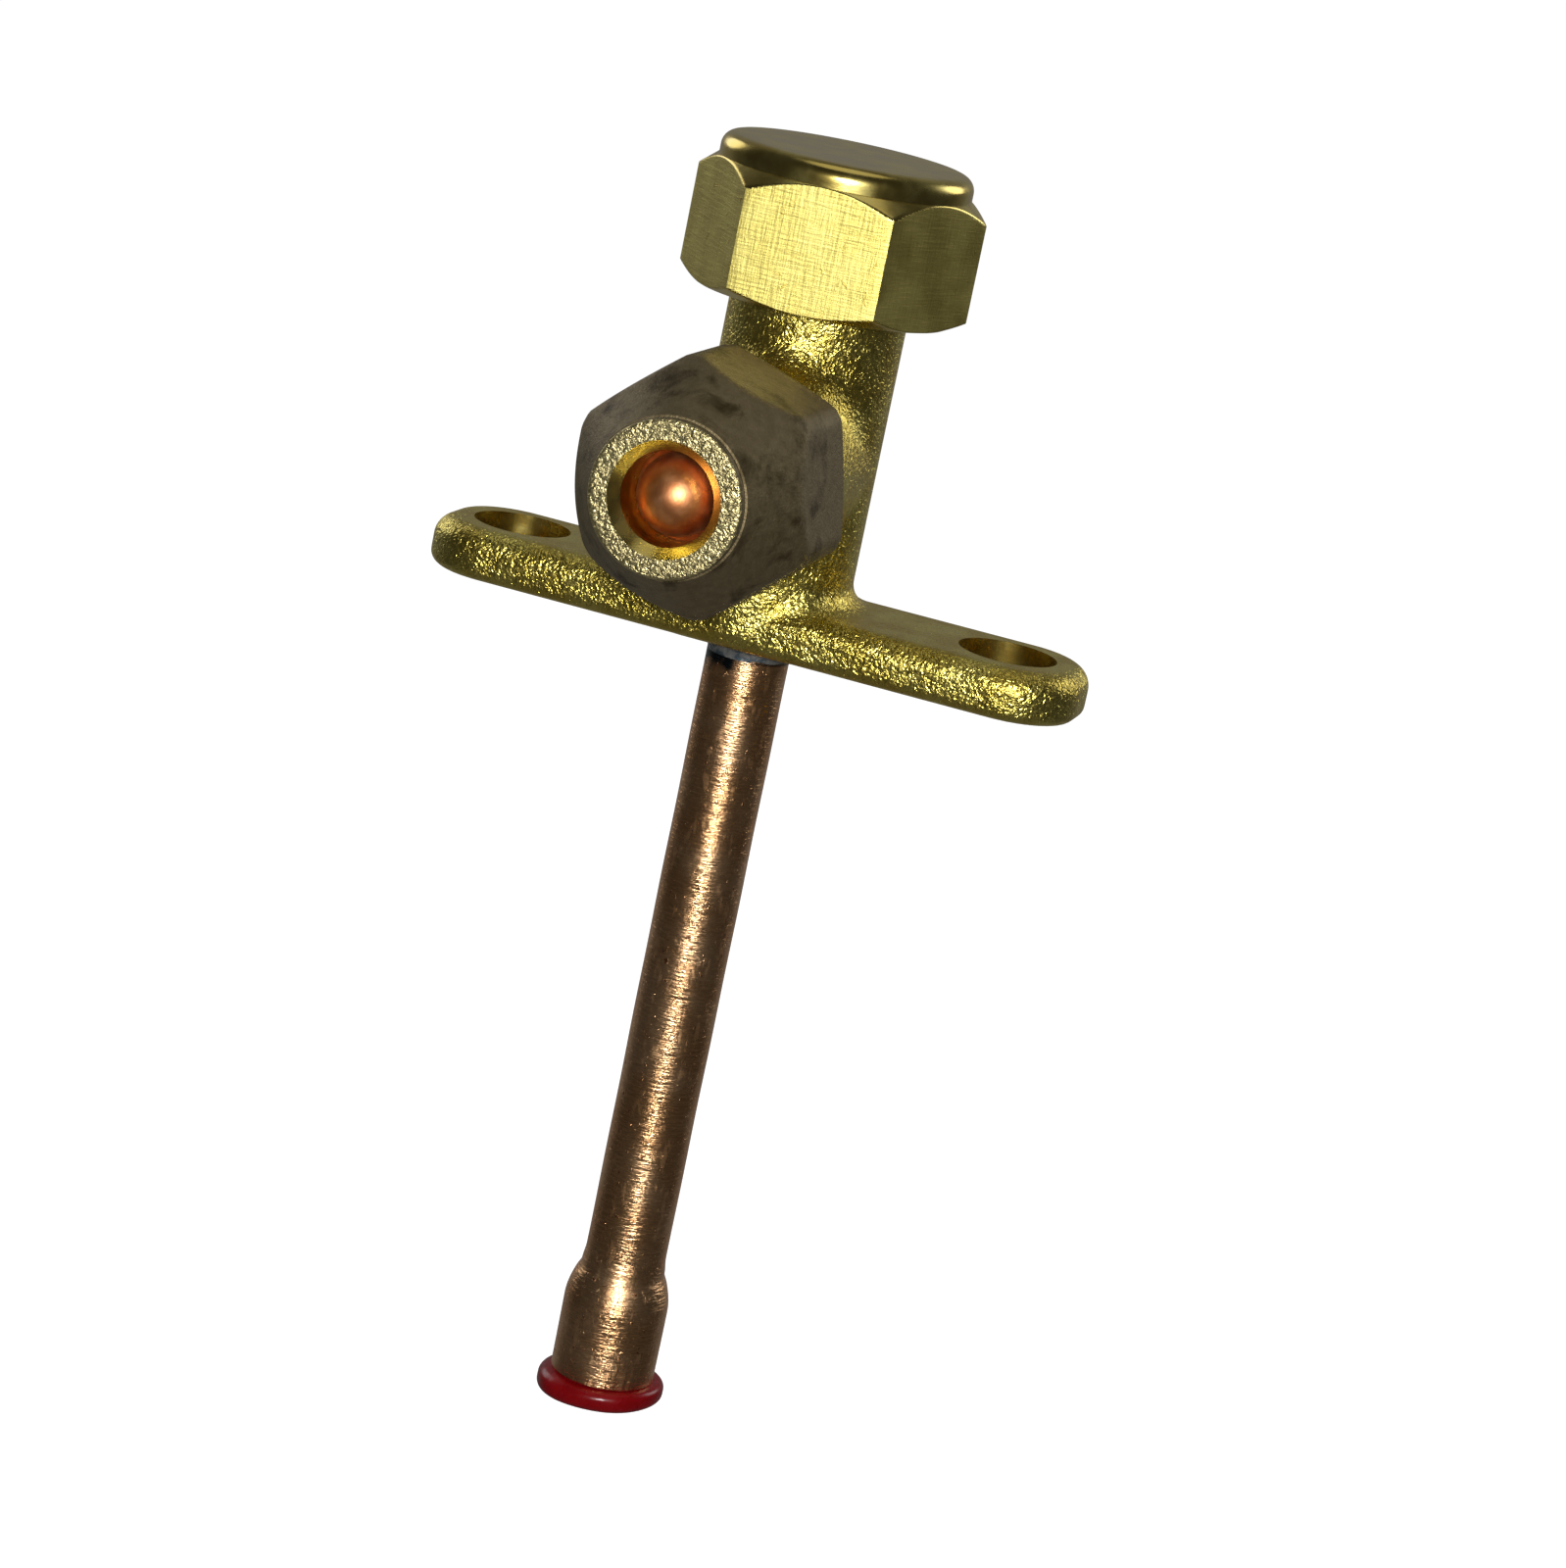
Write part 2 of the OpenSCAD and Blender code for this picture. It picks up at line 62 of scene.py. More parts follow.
# Sizes read from the frame
mounts = {mount["name"]: mount for mount in frame["record"]["mounts"]}
body_low, body_high = low_high("valve_body")
cap_low, cap_high = low_high("stem_cap")
nut_low, nut_high = low_high("flare_nut")
tube_low, tube_high = low_high("copper_tube")
plug_low, plug_high = low_high("dust_plug")
braze_low, braze_high = low_high("braze_ring")
ring_low, ring_high = low_high("retaining_ring")
HOLE_PITCH = mounts["bracket_bolts"]["dims"]["spacing_x_mm"]
HOLE_R = mounts["bracket_bolts"]["dims"]["hole_r_mm"]
PORT_Z = mounts["flare_port"]["pos_m"][2] / MM
FLARE_REACH = -mounts["flare_port"]["pos_m"][1] / MM
FLANGE_L = body_high[0] - body_low[0]
NECK_Z = body_high[2]
NUT_FRONT = -nut_low[1]
NUT_BACK = -nut_high[1]
TUBE_END_Z = tube_low[2]

# Forged body
FLANGE_W = 12.8
FLANGE_T = 3.9
FLANGE_CORNER_R = 5.4
FLANGE_TOP_R = 1.7
FLANGE_BOTTOM_R = 1.0
BARREL_R = 6.7
SHOULDER_Z = 26.6
BASE_FILLET = 2.0
PORT_FILLET = 3.2
BOSS_REACH = 13.0
SKIN_CELL = 0.27

# Machined ends and bores of the body
NECK_R = 6.5
NECK_RELIEF = 0.6
NECK_PITCH = 1.25
NECK_THREAD_DEPTH = 0.7
FLARE_R = 5.55
FLARE_RELIEF = 0.6
FLARE_PITCH = 1.27
FLARE_THREAD_DEPTH = 0.68
FLARE_TIP_R = 2.75
PORT_BORE_R = 2.4
HEAD_BORE_R = 4.3
HEAD_BORE_Z = 22.5
STEM_BORE_R = 3.55
STEM_BORE_Z = 17.3
CHAMBER_R = 3.75
ORIFICE_R = 2.2
SEAT_Z = 8.4
SOCKET_R = 3.225
SOCKET_DEPTH = 4.6
BRAZE_W = 1.15
GROOVE_DEPTH = 0.45

# Cap
CAP_AF = 19.1
CAP_HEX_H = 9.4
CAP_ANGLE = math.radians(6.9)
CROWN_R = 9.5
CROWN_EDGE_R = 1.1
CAP_TOP_CHAMFER = 1.25
CAP_BOTTOM_CHAMFER = 0.8
CAP_ROOF_Z = 35.2
CAP_MOUTH_R = 7.1
CAP_THREAD_Z = 27.2

# Flare nut
NUT_AF = 16.8
NUT_ANGLE = math.radians(11.9 + 30)
NUT_NOSE_R = 5.65
NUT_NOSE_STEP = 0.8
NUT_CONE_BACK = 5.1
NUT_CONE_SLOPE = 0.61
NUT_CORNER_R = 9.4
NUT_BORE_R = 3.4
NUT_MOUTH = 0.75
NUT_SEAT = 28.4

# Tube, bonnet and plug
TUBE_R = 3.175
TUBE_WALL = 0.85
BELL_R = 4.1
BELL_L = 5.8
BELL_TAPER_L = 4.5
TUBE_GROOVE_Z = -51.7
TUBE_GROOVE_DEPTH = 0.1
TUBE_GROOVE_W = 0.4
BONNET_WALL = 0.5
DOME_R = 2.95
DOME_BACK = 3.3
PLUG_RIM_R = 5.05
PLUG_RIM_T = 1.6
PLUG_WALL = 0.9
PLUG_TILT = 0.05
PLUG_RIM_SHRINK = 0.1

# Fits between threads in the drawn pieces
THREAD_GAP = 0.16
CHAMFER = 0.3


def soft_min(a, b, size):
    """The smaller of two values, rounded over where they come within a size of each other."""
    near = np.maximum(size - np.abs(a - b), 0) / size
    return np.minimum(a, b) - near * near * size / 4


def fade(value, start, end):
    """0 before start and 1 after end, smooth between."""
    t = np.clip((value - start) / (end - start), 0, 1)
    return t * t * (3 - 2 * t)


def arc(centre, radius, start, end, steps=10):
    """Points along an arc, with angles in degrees."""
    angles = np.radians(np.linspace(start, end, steps + 1))
    return [(centre[0] + radius * math.cos(a), centre[1] + radius * math.sin(a)) for a in angles]


def fine(points, step):
    """A profile with its straight stretches cut into short ones."""
    out = [points[0]]
    for a, b in zip(points, points[1:]):
        count = max(1, math.ceil(math.dist(a, b) / step - 1e-6))
        for i in range(1, count + 1):
            out.append((a[0] + (b[0] - a[0]) * i / count, a[1] + (b[1] - a[1]) * i / count))
    return out


def thread_radius(angle, along, crest, depth, pitch):
    """Radius of a right-hand thread's surface at an angle and a place along its axis."""
    phase = np.mod(along / pitch - angle / (2 * math.pi), 1.0)
    ridge = 1 - np.abs(2 * phase - 1)
    return crest - depth + depth * np.clip(1.3 * ridge - 0.15, 0, 1)


def hexagon_radius(angle, across_flats, turn, corner):
    """Radius of a hexagon at an angle, with its corners rounded over."""
    sector = math.pi / 3
    local = np.mod(angle - turn + sector / 2, sector) - sector / 2
    one = across_flats / 2 / np.cos(np.abs(local) - sector / 2)
    other = across_flats / 2 / np.cos(np.abs(local) + sector / 2)
    return soft_min(one, other, corner)


def even_angles(count):
    return np.linspace(0, 2 * math.pi, count, endpoint=False)


def mesh_piece(name, points, faces, body, replaced=None, sharp=32):
    """A mesh object from points in millimetres, riding on a body."""
    mesh = bpy.data.meshes.new(name)
    mesh.from_pydata((np.asarray(points) * MM).tolist(), [], faces)
    mesh.update()
    piece = bpy.data.objects.new(name, mesh)
    scene.collection.objects.link(piece)
    mesh.shade_smooth()
    mesh.set_sharp_from_angle(angle=math.radians(sharp))
    if body:
        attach(piece, body)
    if replaced:
        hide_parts(replaced)
    return piece


def turned_mesh(profile, angles, shape=None, axis="z"):
    """Points and faces of a profile of (radius, height) turned about an axis.

    The profile is a closed loop, or it starts and ends on the axis. shape changes radius and
    height with the angle. axis "port" turns it about the port, with heights counted along -Y.
    """
    profile = np.array(profile)
    on_axis = profile[0, 0] < 1e-6
    if not on_axis:
        profile = profile[:-1] if np.allclose(profile[0], profile[-1]) else profile
    radius = np.repeat(profile[:, :1], len(angles), 1)
    height = np.repeat(profile[:, 1:], len(angles), 1)
    turn = np.repeat(angles[None, :], len(profile), 0)
    if shape:
        radius, height = shape(radius, height, turn)
    side_a = radius * np.cos(turn)
    side_b = radius * np.sin(turn)
    if axis == "z":
        grid = np.stack([side_a, side_b, height], 2)
    else:
        grid = np.stack([side_a, -height, side_b + PORT_Z], 2)
    rows, columns = radius.shape
    points = grid.reshape(-1, 3)
    faces = []
    last = rows - 1 if on_axis else rows
    for i in range(last):
        k = (i + 1) % rows
        first_cap = on_axis and i == 0
        last_cap = on_axis and i == rows - 2
        for j in range(columns):
            n = (j + 1) % columns
            a, b, c, d = i * columns + j, i * columns + n, k * columns + n, k * columns + j
            if first_cap:
                faces.append((0, c, d))
            elif last_cap:
                faces.append((a, b, k * columns))
            else:
                faces.append((a, b, c, d))
    if on_axis:
        keep = np.ones(len(points), bool)
        keep[1:columns] = False
        keep[(rows - 1) * columns + 1:] = False
        number = np.cumsum(keep) - 1
        faces = [tuple(int(number[v]) for v in face) for face in faces]
        points = points[keep]
    return points, outward(points, faces)


def outward(points, faces):
    """Faces turned so that a closed mesh has a positive volume."""
    total = 0.0
    for face in faces:
        for i in range(1, len(face) - 1):
            a, b, c = points[face[0]], points[face[i]], points[face[i + 1]]
            total += (a[0] * (b[1] * c[2] - b[2] * c[1]) - a[1] * (b[0] * c[2] - b[2] * c[0])
                      + a[2] * (b[0] * c[1] - b[1] * c[0]))
    if total < 0:
        return [face[::-1] for face in faces]
    return faces


def turned_piece(name, profile, angles, body, replaced=None, shape=None, axis="z", sharp=32):
    points, faces = turned_mesh(profile, angles, shape, axis)
    return mesh_piece(name, points, faces, body, replaced, sharp)


def blended_surface(distance, low, high, cell):
    """Closed mesh of the zero level of a distance function: one point in each crossed cell."""
    axes = [np.arange(low[i], high[i] + cell, cell) for i in range(3)]
    x, y, z = np.meshgrid(*axes, indexing="ij")
    inside = distance(x, y, z) < 0
    cells = tuple(n - 1 for n in inside.shape)
    total = np.zeros(cells, int)
    for dx in (0, 1):
        for dy in (0, 1):
            for dz in (0, 1):
                total += inside[dx:dx + cells[0], dy:dy + cells[1], dz:dz + cells[2]]
    crossed = (total > 0) & (total < 8)
    number = np.full(cells, -1)
    number[crossed] = np.arange(crossed.sum())
    points = np.argwhere(crossed) * cell + np.array(low) + cell / 2
    step = 0.02
    for _ in range(6):
        px, py, pz = points.T
        value = distance(px, py, pz)
        slope = np.stack([distance(px + step, py, pz) - distance(px - step, py, pz),
                          distance(px, py + step, pz) - distance(px, py - step, pz),
                          distance(px, py, pz + step) - distance(px, py, pz - step)], 1) / (2 * step)
        size = np.maximum((slope ** 2).sum(1), 0.2)
        move = -slope * (value / size)[:, None]
        points = points + np.clip(move, -cell / 2, cell / 2)
    faces = []
    for axis in range(3):
        ahead = np.moveaxis(inside, axis, 0)
        ids = np.moveaxis(number, axis, 0)
        edge = ahead[:-1] != ahead[1:]
        edge[:, 0, :] = edge[:, -1, :] = False
        edge[:, :, 0] = edge[:, :, -1] = False
        i, j, k = np.nonzero(edge)
        quad = np.stack([ids[i, j - 1, k - 1], ids[i, j, k - 1], ids[i, j, k], ids[i, j - 1, k]], 1)
        leaving = ahead[i, j, k]
        flip = leaving if axis != 1 else ~leaving
        quad[~flip] = quad[~flip][:, ::-1]
        faces += quad.tolist()
    return points, faces


def combine(piece, tool, operation):
    """Joins a tool to a piece or cuts it out, and removes the tool."""
    modifier = piece.modifiers.new("combine", "BOOLEAN")
    modifier.operation = operation
    modifier.solver = "MANIFOLD"
    modifier.object = tool
    modifier.material_mode = "TRANSFER"
    bpy.context.view_layer.update()
    graph = bpy.context.evaluated_depsgraph_get()
    result = bpy.data.meshes.new_from_object(piece.evaluated_get(graph))
    piece.modifiers.clear()
    old = piece.data
    piece.data = result
    result.name = piece.name
    bpy.data.meshes.remove(old)
    bpy.data.objects.remove(tool)


# Materials: every pattern is measured in millimetres on the piece itself
class Nodes:
    """A material's node tree, with short ways to add and link nodes."""

    def __init__(self, name):
        self.material = bpy.data.materials.new(name)
        self.material.use_nodes = True
        self.tree = self.material.node_tree
        self.shader = self.tree.nodes["Principled BSDF"]
        where = self.tree.nodes.new("ShaderNodeTexCoord")
        self.place = self.scaled(where.outputs["Object"], (1 / MM, 1 / MM, 1 / MM))

    def link(self, source, target):
        self.tree.links.new(source, target)

    def scaled(self, vector, scale, turn=(0, 0, 0)):
        node = self.tree.nodes.new("ShaderNodeMapping")
        node.inputs["Scale"].default_value = scale
        node.inputs["Rotation"].default_value = turn
        self.link(vector, node.inputs["Vector"])
        return node.outputs["Vector"]

    def uv(self, scale=(1, 1, 1)):
        node = self.tree.nodes.new("ShaderNodeUVMap")
        node.uv_map = "unrolled"
        return self.scaled(node.outputs["UV"], scale)

    def noise(self, scale, detail=2, rough=0.5, twist=0, vector=None):
        node = self.tree.nodes.new("ShaderNodeTexNoise")
        node.inputs["Scale"].default_value = scale
        node.inputs["Detail"].default_value = detail
        node.inputs["Roughness"].default_value = rough
        node.inputs["Distortion"].default_value = twist
        self.link(vector or self.place, node.inputs["Vector"])
        return node.outputs["Fac"]

    def cells(self, scale, feature="F1", vector=None):
        node = self.tree.nodes.new("ShaderNodeTexVoronoi")
        node.feature = feature
        node.inputs["Scale"].default_value = scale
        self.link(vector or self.place, node.inputs["Vector"])
        return node.outputs["Distance"]

    def ramp(self, value, low, high, out_low=0.0, out_high=1.0):
        node = self.tree.nodes.new("ShaderNodeMapRange")
        node.interpolation_type = "SMOOTHSTEP"
        self.link(value, node.inputs["Value"])
        for socket, number in (("From Min", low), ("From Max", high),
                               ("To Min", out_low), ("To Max", out_high)):
            node.inputs[socket].default_value = number
        return node.outputs["Result"]

    def math(self, kind, a, b):
        node = self.tree.nodes.new("ShaderNodeMath")
        node.operation = kind
        for socket, value in zip(node.inputs, (a, b)):
            if isinstance(value, (int, float)):
                socket.default_value = value
            else:
                self.link(value, socket)
        return node.outputs["Value"]

    def mix(self, factor, a, b):
        node = self.tree.nodes.new("ShaderNodeMix")
        node.data_type = "RGBA"
        self.link(factor, node.inputs["Factor"])
        for socket, value in ((node.inputs[6], a), (node.inputs[7], b)):
            if isinstance(value, tuple):
                socket.default_value = (*value, 1)
            else:
                self.link(value, socket)
        return node.outputs[2]

    def axis_part(self, axis):
        node = self.tree.nodes.new("ShaderNodeSeparateXYZ")
        self.link(self.place, node.inputs["Vector"])
        return node.outputs[axis]

    def bump(self, height, distance, normal=None):
        node = self.tree.nodes.new("ShaderNodeBump")
        node.inputs["Distance"].default_value = distance * MM
        self.link(height, node.inputs["Height"])
        if normal:
            self.link(normal, node.inputs["Normal"])
        return node.outputs["Normal"]

    def finish(self, colour, rough, normal=None, metallic=1.0, **constants):
        for value, socket in ((colour, "Base Color"), (rough, "Roughness")):
            if isinstance(value, tuple):
                self.shader.inputs[socket].default_value = (*value, 1)
            elif isinstance(value, (int, float)):
                self.shader.inputs[socket].default_value = value
            else:
                self.link(value, self.shader.inputs[socket])
        if normal:
            self.link(normal, self.shader.inputs["Normal"])
        self.shader.inputs["Metallic"].default_value = metallic
        for name, value in constants.items():
            self.shader.inputs[name.replace("_", " ")].default_value = value
        return self.material


def forged_brass():
    """Sand-blasted forging: sparkling wrinkles a third of a millimetre wide on yellow-green brass."""
    n = Nodes("forged_brass")
    patches = n.noise(0.35, 3)
    tint = n.mix(n.ramp(patches, 0.35, 0.68), (0.67, 0.51, 0.09), (0.8, 0.67, 0.16))
    pits = n.ramp(n.noise(5.5, 2), 0.62, 0.72)
    colour = n.mix(pits, tint, (0.3, 0.22, 0.04))
    wrinkles = n.noise(2.3, 1, 0.5, 1.6)
    grains = n.cells(3.4, "SMOOTH_F1")
    normal = n.bump(wrinkles, 0.12)
    normal = n.bump(grains, 0.05, normal)
    rough = n.ramp(n.noise(1.3, 2), 0.3, 0.7, 0.28, 0.34)
    return n.finish(colour, rough, normal)


def turned_brass(name="turned_brass"):
    """Cut brass with fine tool marks."""
    n = Nodes(name)
    clouds = n.noise(0.5, 3)
    colour = n.mix(n.ramp(clouds, 0.35, 0.7), (0.62, 0.47, 0.12), (0.76, 0.63, 0.2))
    marks = n.noise(1, 2, 0.6, vector=n.scaled(n.place, (1.5, 1.5, 9)))
    return n.finish(colour, n.ramp(clouds, 0.3, 0.7, 0.2, 0.28), n.bump(marks, 0.004))


def milled_brass():
    """The cap's flats: crossed scratches along and across the flat, and darker spots."""
    n = Nodes("milled_brass")
    clouds = n.noise(0.3, 3)
    colour = n.mix(n.ramp(clouds, 0.35, 0.7), (0.62, 0.52, 0.14), (0.7, 0.61, 0.19))
    along = n.noise(1, 3, 0.75, vector=n.uv((0.3, 3.0, 1)))
    across = n.noise(1, 3, 0.75, vector=n.uv((2.8, 0.25, 1)))
    spots = n.ramp(n.noise(0.9, 3, 0.6, 0.6), 0.62, 0.75)
    normal = n.bump(along, 0.035)
    normal = n.bump(across, 0.035, normal)
    normal = n.bump(spots, 0.01, normal)
    return n.finish(n.mix(spots, colour, (0.52, 0.38, 0.08)), n.ramp(clouds, 0.3, 0.7, 0.43, 0.5), normal)


def dull_brass():
    """The nut's forged skin: matte brown-grey with dark smudges."""
    n = Nodes("dull_brass")
    smudges = n.ramp(n.noise(0.33, 4, 0.6, 0.4), 0.5, 0.72)
    skin = n.mix(n.noise(1.4, 3), (0.13, 0.098, 0.042), (0.26, 0.205, 0.115))
    colour = n.mix(smudges, skin, (0.06, 0.042, 0.014))
    grains = n.noise(4.5, 3, 0.6)
    normal = n.bump(grains, 0.07)
    return n.finish(colour, n.ramp(grains, 0.3, 0.7, 0.5, 0.62), normal, 0.85)


def nose_brass():
    """The nut's cut nose ring, coarse and bright."""
    n = Nodes("nose_brass")
    grains = n.noise(2.9, 2, 0.5, 0.9)
    dark = n.ramp(n.cells(3.1), 0.1, 0.22)
    colour = n.mix(dark, (0.14, 0.1, 0.03), (0.62, 0.52, 0.25))
    return n.finish(colour, 0.4, n.bump(grains, 0.2))


def drawn_copper():
    """Drawn tube: long draw lines, scuffs and small pits."""
    n = Nodes("drawn_copper")
    clouds = n.noise(0.25, 4)
    colour = n.mix(n.ramp(clouds, 0.35, 0.7), (0.84, 0.45, 0.2), (0.93, 0.57, 0.3))
    lines = n.noise(1, 3, 0.7, vector=n.scaled(n.place, (3.2, 3.2, 0.06)))
    pits = n.ramp(n.noise(2.2, 3, 0.6), 0.62, 0.7)
    scuffs = n.ramp(n.noise(1, 3, 0.6, vector=n.scaled(n.place, (1.5, 1.5, 0.5))), 0.56, 0.66)
    handling = n.noise(1, 3, 0.7, vector=n.scaled(n.place, (0.5, 0.5, 4.5)))
    normal = n.bump(lines, 0.006)
    normal = n.bump(handling, 0.1, normal)
    normal = n.bump(pits, 0.02, normal)
    rough = n.math("ADD", n.ramp(clouds, 0.3, 0.7, 0.24, 0.29), n.math("MULTIPLY", scuffs, 0.12))
    copper = n.mix(pits, colour, (0.4, 0.15, 0.06))
    ragged = n.math("MULTIPLY", n.math("SUBTRACT", n.noise(0.9, 3), 0.5), 3.0)
    high = n.ramp(n.math("ADD", n.axis_part("Z"), ragged), -2.6, -1.6)
    left = n.ramp(n.math("SUBTRACT", ragged, n.axis_part("X")), -0.6, 0.8)
    stain = n.math("MULTIPLY", high, left)
    ring = n.ramp(n.math("ABSOLUTE", n.math("ADD", n.axis_part("Z"), 1.2), 0.0), 0.12, 0.3, 0.7, 0.0)
    soot = n.math("MAXIMUM", stain, ring)
    return n.finish(n.mix(soot, copper, (0.035, 0.045, 0.05)), rough, normal)


def soft_copper():
    """Annealed copper cup, satin with a light grain."""
    n = Nodes("soft_copper")
    clouds = n.noise(0.8, 3)
    colour = n.mix(n.ramp(clouds, 0.35, 0.7), (0.7, 0.27, 0.1), (0.82, 0.38, 0.17))
    return n.finish(colour, n.ramp(clouds, 0.3, 0.7, 0.4, 0.47), n.bump(n.noise(5, 3), 0.008))


def braze_metal():
    """Dull solder with flux stain."""
    n = Nodes("braze")
    stain = n.ramp(n.noise(0.9, 3, 0.6, 0.5), 0.4, 0.6)
    colour = n.mix(stain, (0.12, 0.16, 0.19), (0.42, 0.42, 0.4))
    return n.finish(colour, 0.45, n.bump(n.noise(2.2, 3), 0.06), 0.9)


def red_plastic():
    """Soft translucent plastic."""
    n = Nodes("red_plastic")
    clouds = n.noise(0.5, 2)
    colour = n.mix(clouds, (0.17, 0.002, 0.003), (0.26, 0.003, 0.006))
    normal = n.bump(n.noise(0.9, 2), 0.05)
    return n.finish(colour, n.ramp(clouds, 0.3, 0.7, 0.22, 0.34), normal, 0.0,
                    Subsurface_Weight=0.35, Subsurface_Scale=0.0012, IOR=1.47,
                    Specular_IOR_Level=0.4)


def plain_finish(name, low, high, rough, metallic, scale=1.5, grain=0.02):
    """A finish of two near colours with a fine grain, for the inner pieces."""
    n = Nodes(name)
    return n.finish(n.mix(n.noise(scale, 3), low, high), rough, n.bump(n.noise(6, 3), grain), metallic)


def give(piece, *materials):
    piece.data.materials.clear()
    for material in materials:
        piece.data.materials.append(material)


def unroll(piece, turn, across_flats):
    """A UV map in millimetres round a hexagon: along each flat, and up the piece."""
    mesh = piece.data
    layer = mesh.uv_layers.new(name="unrolled")
    sector = math.pi / 3
    half = across_flats / 2
    corners = np.array([mesh.vertices[loop.vertex_index].co[:] for loop in mesh.loops]) / MM
    angle = np.arctan2(corners[:, 1], corners[:, 0])
    centre = {}
    for polygon in mesh.polygons:
        middle = polygon.center
        flat = round((math.atan2(middle[1], middle[0]) - turn - sector / 2) / sector)
        for index in polygon.loop_indices:
            centre[index] = flat
    flats = np.array([centre[i] for i in range(len(corners))])
    away = angle - turn - sector / 2 - flats * sector
    radius = np.hypot(corners[:, 0], corners[:, 1])
    u = radius * np.sin(away) + flats * (2 * half)
    uv = np.stack([u, corners[:, 2]], 1)
    layer.data.foreach_set("uv", uv.ravel())


# The forged body: flange, barrel and boss blended together, then machined
def body_distance(x, y, z):
    """Distance to the forging's skin, negative inside."""
    middle = FLANGE_T / 2
    edge = np.where(z > middle, FLANGE_TOP_R, FLANGE_BOTTOM_R)
    side_x = np.abs(x) - (FLANGE_L / 2 - FLANGE_CORNER_R)
    side_y = np.abs(y) - (FLANGE_W / 2 - FLANGE_CORNER_R)
    plan = (np.hypot(np.maximum(side_x, 0), np.maximum(side_y, 0))
            + np.minimum(np.maximum(side_x, side_y), 0) - FLANGE_CORNER_R)
    rise = np.abs(z - middle) - middle
    flange = (np.hypot(np.maximum(plan + edge, 0), np.maximum(rise + edge, 0))
              + np.minimum(np.maximum(plan, rise) + edge, 0) - edge)
    bore_side = np.hypot(x, y)
    barrel = capped(bore_side - BARREL_R, np.maximum(z - SHOULDER_Z, 1 - z), CHAMFER)
    boss = capped(np.hypot(x, z - PORT_Z) - BARREL_R, np.maximum(-y - BOSS_REACH, y), 2 * CHAMFER)
    port_r = PORT_FILLET * (1 - np.clip(np.abs(x) / BARREL_R, 0, 1) ** 2)
    base_r = BASE_FILLET * (1 - fade(np.abs(y), FLANGE_W / 2 - FLANGE_TOP_R, FLANGE_W / 2 + 0.2))
    return filleted(filleted(barrel, boss, port_r), flange, base_r)


def capped(side, end, edge):
    """A solid between a side wall and an end face, with a rounded rim."""
    return (np.hypot(np.maximum(side + edge, 0), np.maximum(end + edge, 0))
            + np.minimum(np.maximum(side, end) + edge, 0) - edge)


def filleted(a, b, radius):
    """Two solids joined with a hollow fillet of a radius."""
    radius = np.maximum(radius, 0.01)
    corner = np.hypot(np.maximum(radius - a, 0), np.maximum(radius - b, 0))
    return np.maximum(radius, np.minimum(a, b)) - corner


def neck_shape(radius, height, turn):
    groove = thread_radius(turn, height, NECK_R, NECK_THREAD_DEPTH, NECK_PITCH)
    above = height > SHOULDER_Z + 0.01
    return np.where(above, np.minimum(radius, groove), radius), height


def flare_shape(radius, height, turn):
    groove = thread_radius(turn, height, FLARE_R, FLARE_THREAD_DEPTH, FLARE_PITCH)
    on_thread = radius > FLARE_R - FLARE_RELIEF - 0.02
    ahead = height > BOSS_REACH + 0.01
    return np.where(ahead & on_thread, np.minimum(radius, groove), radius), height


